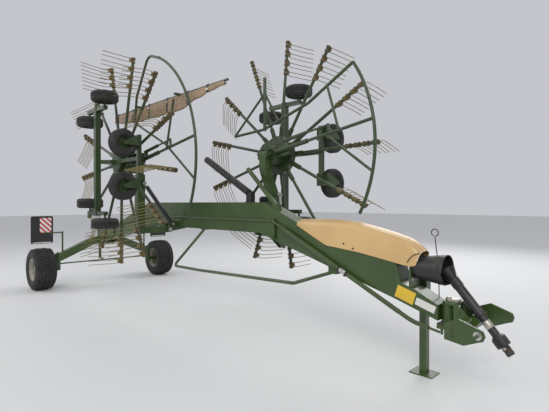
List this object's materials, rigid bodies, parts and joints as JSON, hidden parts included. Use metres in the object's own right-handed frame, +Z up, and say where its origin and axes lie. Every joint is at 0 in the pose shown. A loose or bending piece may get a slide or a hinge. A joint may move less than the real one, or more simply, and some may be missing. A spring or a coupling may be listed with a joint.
{
  "type": "two-rotor rotary rake",
  "caption": "Towed rotary rake on its own steered axle, with two tined rotors folded upright beside its beam for the road.",
  "frame": {"origin": "on the floor below the middle of the machine's length and width", "axes": "+X forward to the hitch, +Y to the machine's left, +Z up"},
  "size_m": [8.5902, 3, 3.9765],
  "materials": {
    "green_paint": "satin",
    "beige_panel": "gloss",
    "black_rubber": "matte",
    "rim_paint": "satin",
    "black_plastic": "matte",
    "bare_steel": "satin",
    "spring_steel": "satin",
    "curtain_cloth": "matte",
    "board_face": "reflective"
  },
  "bodies": {
    "frame": {"main_beam": "green_paint", "axle_beam": "green_paint", "hood": "beige_panel", "drive_bearing": "black_plastic", "side_guard": "green_paint", "parked_tube": "black_plastic", "beam_strut": "green_paint", "warning_boards": "board_face", "front_hinge_bracket": "green_paint", "rear_hinge_bracket": "green_paint"},
    "headstock": {"headstock": "green_paint", "propeller_shaft": "black_plastic"},
    "stand": {"stand_leg": "green_paint"},
    "relay": {"relay_lever": "green_paint"},
    "front_link": {"front_steer_rod": "green_paint"},
    "rear_link": {"rear_steer_rod": "green_paint"},
    "crank": {"steer_crank": "green_paint"},
    "tie": {"track_rod": "green_paint"},
    "left_steer": {"left_knuckle": "green_paint"},
    "left_wheel": {"left_tyre": "black_rubber", "left_rim": "rim_paint"},
    "right_steer": {"right_knuckle": "green_paint"},
    "right_wheel": {"right_tyre": "black_rubber", "right_rim": "rim_paint"},
    "front_boom": {"front_boom": "green_paint"},
    "front_head": {"front_gearbox": "green_paint", "front_chassis": "green_paint"},
    "rear_boom": {"rear_boom_sleeve": "green_paint"},
    "rear_head": {"rear_boom_slide": "green_paint", "rear_gearbox": "green_paint", "rear_chassis": "green_paint"},
    "front_barrel": {"front_fold_barrel": "green_paint"},
    "front_rod": {"front_fold_rod": "bare_steel"},
    "rear_barrel": {"rear_fold_barrel": "green_paint"},
    "rear_rod": {"rear_fold_rod": "bare_steel"},
    "front_rotor": {"front_spider": "green_paint", "front_tines": "spring_steel"},
    "front_guard": {"front_guard_bow": "green_paint"},
    "front_tandem_outer_front": {"front_wheel_outer_front": "black_rubber"},
    "front_tandem_outer_back": {"front_wheel_outer_back": "black_rubber"},
    "front_tandem_inner_front": {"front_wheel_inner_front": "black_rubber"},
    "front_tandem_inner_back": {"front_wheel_inner_back": "black_rubber"},
    "front_outer_fork": {"front_caster_outer": "green_paint"},
    "front_outer_caster": {"front_caster_wheel_outer": "black_rubber"},
    "front_inner_fork": {"front_caster_inner": "green_paint"},
    "front_inner_caster": {"front_caster_wheel_inner": "black_rubber"},
    "rear_rotor": {"rear_spider": "green_paint", "rear_tines": "spring_steel"},
    "rear_guard": {"rear_guard_bow": "green_paint", "swath_curtain": "curtain_cloth"},
    "rear_tandem_outer_front": {"rear_wheel_outer_front": "black_rubber"},
    "rear_tandem_outer_back": {"rear_wheel_outer_back": "black_rubber"},
    "rear_tandem_inner_front": {"rear_wheel_inner_front": "black_rubber"},
    "rear_tandem_inner_back": {"rear_wheel_inner_back": "black_rubber"},
    "rear_outer_fork": {"rear_caster_outer": "green_paint"},
    "rear_outer_caster": {"rear_caster_wheel_outer": "black_rubber"},
    "rear_inner_fork": {"rear_caster_inner": "green_paint"},
    "rear_inner_caster": {"rear_caster_wheel_inner": "black_rubber"}
  },
  "joints": [
    {"name": "headstock_yaw", "type": "hinge", "parent": "frame", "child": "headstock", "pos_m": [3.73981, 0, 0.7], "axis": [0, 0, 1], "range_deg": [-45, 45]},
    {"name": "stand_slide", "type": "slide", "parent": "frame", "child": "stand", "axis": [0, 0, 1], "range_m": [0, 0.35]},
    {"name": "relay_turn", "type": "hinge", "parent": "frame", "child": "relay", "pos_m": [1.53981, -0.132, 1.3], "axis": [0, 1, 0], "range_deg": [-37, 37]},
    {"name": "front_link_slide", "type": "slide", "parent": "frame", "child": "front_link", "axis": [1, 0, 0], "range_m": [-0.13, 0.13]},
    {"name": "rear_link_slide", "type": "slide", "parent": "frame", "child": "rear_link", "axis": [1, 0, 0], "range_m": [-0.13, 0.13]},
    {"name": "crank_turn", "type": "hinge", "parent": "frame", "child": "crank", "pos_m": [-4.21019, 0, 1], "axis": [0, 0, 1], "range_deg": [-40, 40]},
    {"name": "tie_slide", "type": "slide", "parent": "frame", "child": "tie", "axis": [0, 1, 0], "range_m": [-0.085, 0.085]},
    {"name": "left_steering", "type": "hinge", "parent": "frame", "child": "left_steer", "pos_m": [-3.88019, 1, 0.415], "axis": [0, 0, 1], "range_deg": [-23, 23]},
    {"name": "left_wheel_spin", "type": "hinge", "parent": "left_steer", "child": "left_wheel", "pos_m": [-3.88019, 1.31, 0.415], "axis": [0, 1, 0], "continuous": true},
    {"name": "right_steering", "type": "hinge", "parent": "frame", "child": "right_steer", "pos_m": [-3.88019, -1, 0.415], "axis": [0, 0, 1], "range_deg": [-23, 23]},
    {"name": "right_wheel_spin", "type": "hinge", "parent": "right_steer", "child": "right_wheel", "pos_m": [-3.88019, -1.31, 0.415], "axis": [0, 1, 0], "continuous": true},
    {"name": "front_fold", "type": "hinge", "parent": "frame", "child": "front_boom", "pos_m": [1.23981, 0.184, 1.295], "axis": [1, 0, 0], "range_deg": [-126, 0]},
    {"name": "front_tilt", "type": "hinge", "parent": "front_boom", "child": "front_head", "pos_m": [1.23981, 0, 2.4], "axis": [1, 0, 0], "range_deg": [0, 36]},
    {"name": "rear_fold", "type": "hinge", "parent": "frame", "child": "rear_boom", "pos_m": [-0.93019, -0.205, 1.295], "axis": [1, 0, 0], "range_deg": [0, 90]},
    {"name": "rear_extend", "type": "slide", "parent": "rear_boom", "child": "rear_head", "axis": [0, 0, 1], "range_m": [0, 0.65]},
    {"name": "front_barrel_turn", "type": "hinge", "parent": "frame", "child": "front_barrel", "pos_m": [1.37481, 0.207, 1.147], "axis": [1, 0, 0], "range_deg": [-113.96, 0]},
    {"name": "front_rod_slide", "type": "slide", "parent": "front_barrel", "child": "front_rod", "axis": [0, -0.0596, 0.9982], "range_m": [-0.23797, 0]},
    {"name": "rear_barrel_turn", "type": "hinge", "parent": "frame", "child": "rear_barrel", "pos_m": [-0.79519, -0.2, 1.39], "axis": [1, 0, 0], "range_deg": [0, 90.85]},
    {"name": "rear_rod_slide", "type": "slide", "parent": "rear_barrel", "child": "rear_rod", "axis": [0, -0.5961, 0.8029], "range_m": [0, 0.13416]},
    {"name": "front_rotor_spin", "type": "hinge", "parent": "front_head", "child": "front_rotor", "pos_m": [1.23981, 0.3, 2.4], "axis": [0, 1, 0], "continuous": true},
    {"name": "front_guard_slide", "type": "slide", "parent": "front_head", "child": "front_guard", "axis": [0.9877, 0, 0.1564], "range_m": [0, 0.25]},
    {"name": "front_tandem_outer_front_spin", "type": "hinge", "parent": "front_head", "child": "front_tandem_outer_front", "pos_m": [1.32981, 0.603, 3.34], "axis": [0, 0, 1], "continuous": true},
    {"name": "front_tandem_outer_back_spin", "type": "hinge", "parent": "front_head", "child": "front_tandem_outer_back", "pos_m": [0.76981, 0.603, 3.04], "axis": [0, 0, 1], "continuous": true},
    {"name": "front_tandem_inner_front_spin", "type": "hinge", "parent": "front_head", "child": "front_tandem_inner_front", "pos_m": [1.32981, 0.603, 1.46], "axis": [0, 0, 1], "continuous": true},
    {"name": "front_tandem_inner_back_spin", "type": "hinge", "parent": "front_head", "child": "front_tandem_inner_back", "pos_m": [0.76981, 0.603, 1.76], "axis": [0, 0, 1], "continuous": true},
    {"name": "front_outer_swivel", "type": "hinge", "parent": "front_head", "child": "front_outer_fork", "pos_m": [1.92981, 0.34, 2.7], "axis": [0, 1, 0], "continuous": true},
    {"name": "front_outer_caster_spin", "type": "hinge", "parent": "front_outer_fork", "child": "front_outer_caster", "pos_m": [1.92981, 0.603, 2.6], "axis": [1, 0, 0], "continuous": true},
    {"name": "front_inner_swivel", "type": "hinge", "parent": "front_head", "child": "front_inner_fork", "pos_m": [1.92981, 0.34, 2.1], "axis": [0, 1, 0], "continuous": true},
    {"name": "front_inner_caster_spin", "type": "hinge", "parent": "front_inner_fork", "child": "front_inner_caster", "pos_m": [1.92981, 0.603, 2], "axis": [1, 0, 0], "continuous": true},
    {"name": "rear_rotor_spin", "type": "hinge", "parent": "rear_head", "child": "rear_rotor", "pos_m": [-0.93019, -1, 2.37], "axis": [0, 1, 0], "continuous": true},
    {"name": "rear_guard_slide", "type": "slide", "parent": "rear_head", "child": "rear_guard", "axis": [0.9877, 0, 0.1564], "range_m": [0, 0.25]},
    {"name": "rear_tandem_outer_front_spin", "type": "hinge", "parent": "rear_head", "child": "rear_tandem_outer_front", "pos_m": [-0.84019, -1.303, 3.31], "axis": [0, 0, 1], "continuous": true},
    {"name": "rear_tandem_outer_back_spin", "type": "hinge", "parent": "rear_head", "child": "rear_tandem_outer_back", "pos_m": [-1.40019, -1.303, 3.01], "axis": [0, 0, 1], "continuous": true},
    {"name": "rear_tandem_inner_front_spin", "type": "hinge", "parent": "rear_head", "child": "rear_tandem_inner_front", "pos_m": [-0.84019, -1.303, 1.43], "axis": [0, 0, 1], "continuous": true},
    {"name": "rear_tandem_inner_back_spin", "type": "hinge", "parent": "rear_head", "child": "rear_tandem_inner_back", "pos_m": [-1.40019, -1.303, 1.73], "axis": [0, 0, 1], "continuous": true},
    {"name": "rear_outer_swivel", "type": "hinge", "parent": "rear_head", "child": "rear_outer_fork", "pos_m": [-0.24019, -1.04, 2.67], "axis": [0, 1, 0], "continuous": true},
    {"name": "rear_outer_caster_spin", "type": "hinge", "parent": "rear_outer_fork", "child": "rear_outer_caster", "pos_m": [-0.24019, -1.303, 2.57], "axis": [1, 0, 0], "continuous": true},
    {"name": "rear_inner_swivel", "type": "hinge", "parent": "rear_head", "child": "rear_inner_fork", "pos_m": [-0.24019, -1.04, 2.07], "axis": [0, 1, 0], "continuous": true},
    {"name": "rear_inner_caster_spin", "type": "hinge", "parent": "rear_inner_fork", "child": "rear_inner_caster", "pos_m": [-0.24019, -1.303, 1.97], "axis": [1, 0, 0], "continuous": true}
  ],
  "couplings": [
    {"joint": "relay_turn", "follows": "headstock_yaw", "ratio": 0.78049},
    {"joint": "front_link_slide", "follows": "headstock_yaw", "m_per_rad": 0.16},
    {"joint": "rear_link_slide", "follows": "headstock_yaw", "m_per_rad": 0.16},
    {"joint": "crank_turn", "follows": "headstock_yaw", "ratio": 0.86486},
    {"joint": "tie_slide", "follows": "headstock_yaw", "m_per_rad": 0.10378},
    {"joint": "left_steering", "follows": "headstock_yaw", "ratio": -0.49421},
    {"joint": "right_steering", "follows": "headstock_yaw", "ratio": -0.49421},
    {"joint": "front_tilt", "follows": "front_fold", "ratio": -0.28571},
    {"joint": "rear_extend", "follows": "rear_fold", "m_per_rad": 0.4138},
    {"joint": "front_barrel_turn", "follows": "front_fold", "ratio": 0.90357},
    {"joint": "front_rod_slide", "follows": "front_fold", "m_per_rad": 0.10811},
    {"joint": "rear_barrel_turn", "follows": "rear_fold", "ratio": 1.0084},
    {"joint": "rear_rod_slide", "follows": "rear_fold", "m_per_rad": 0.085322}
  ]
}
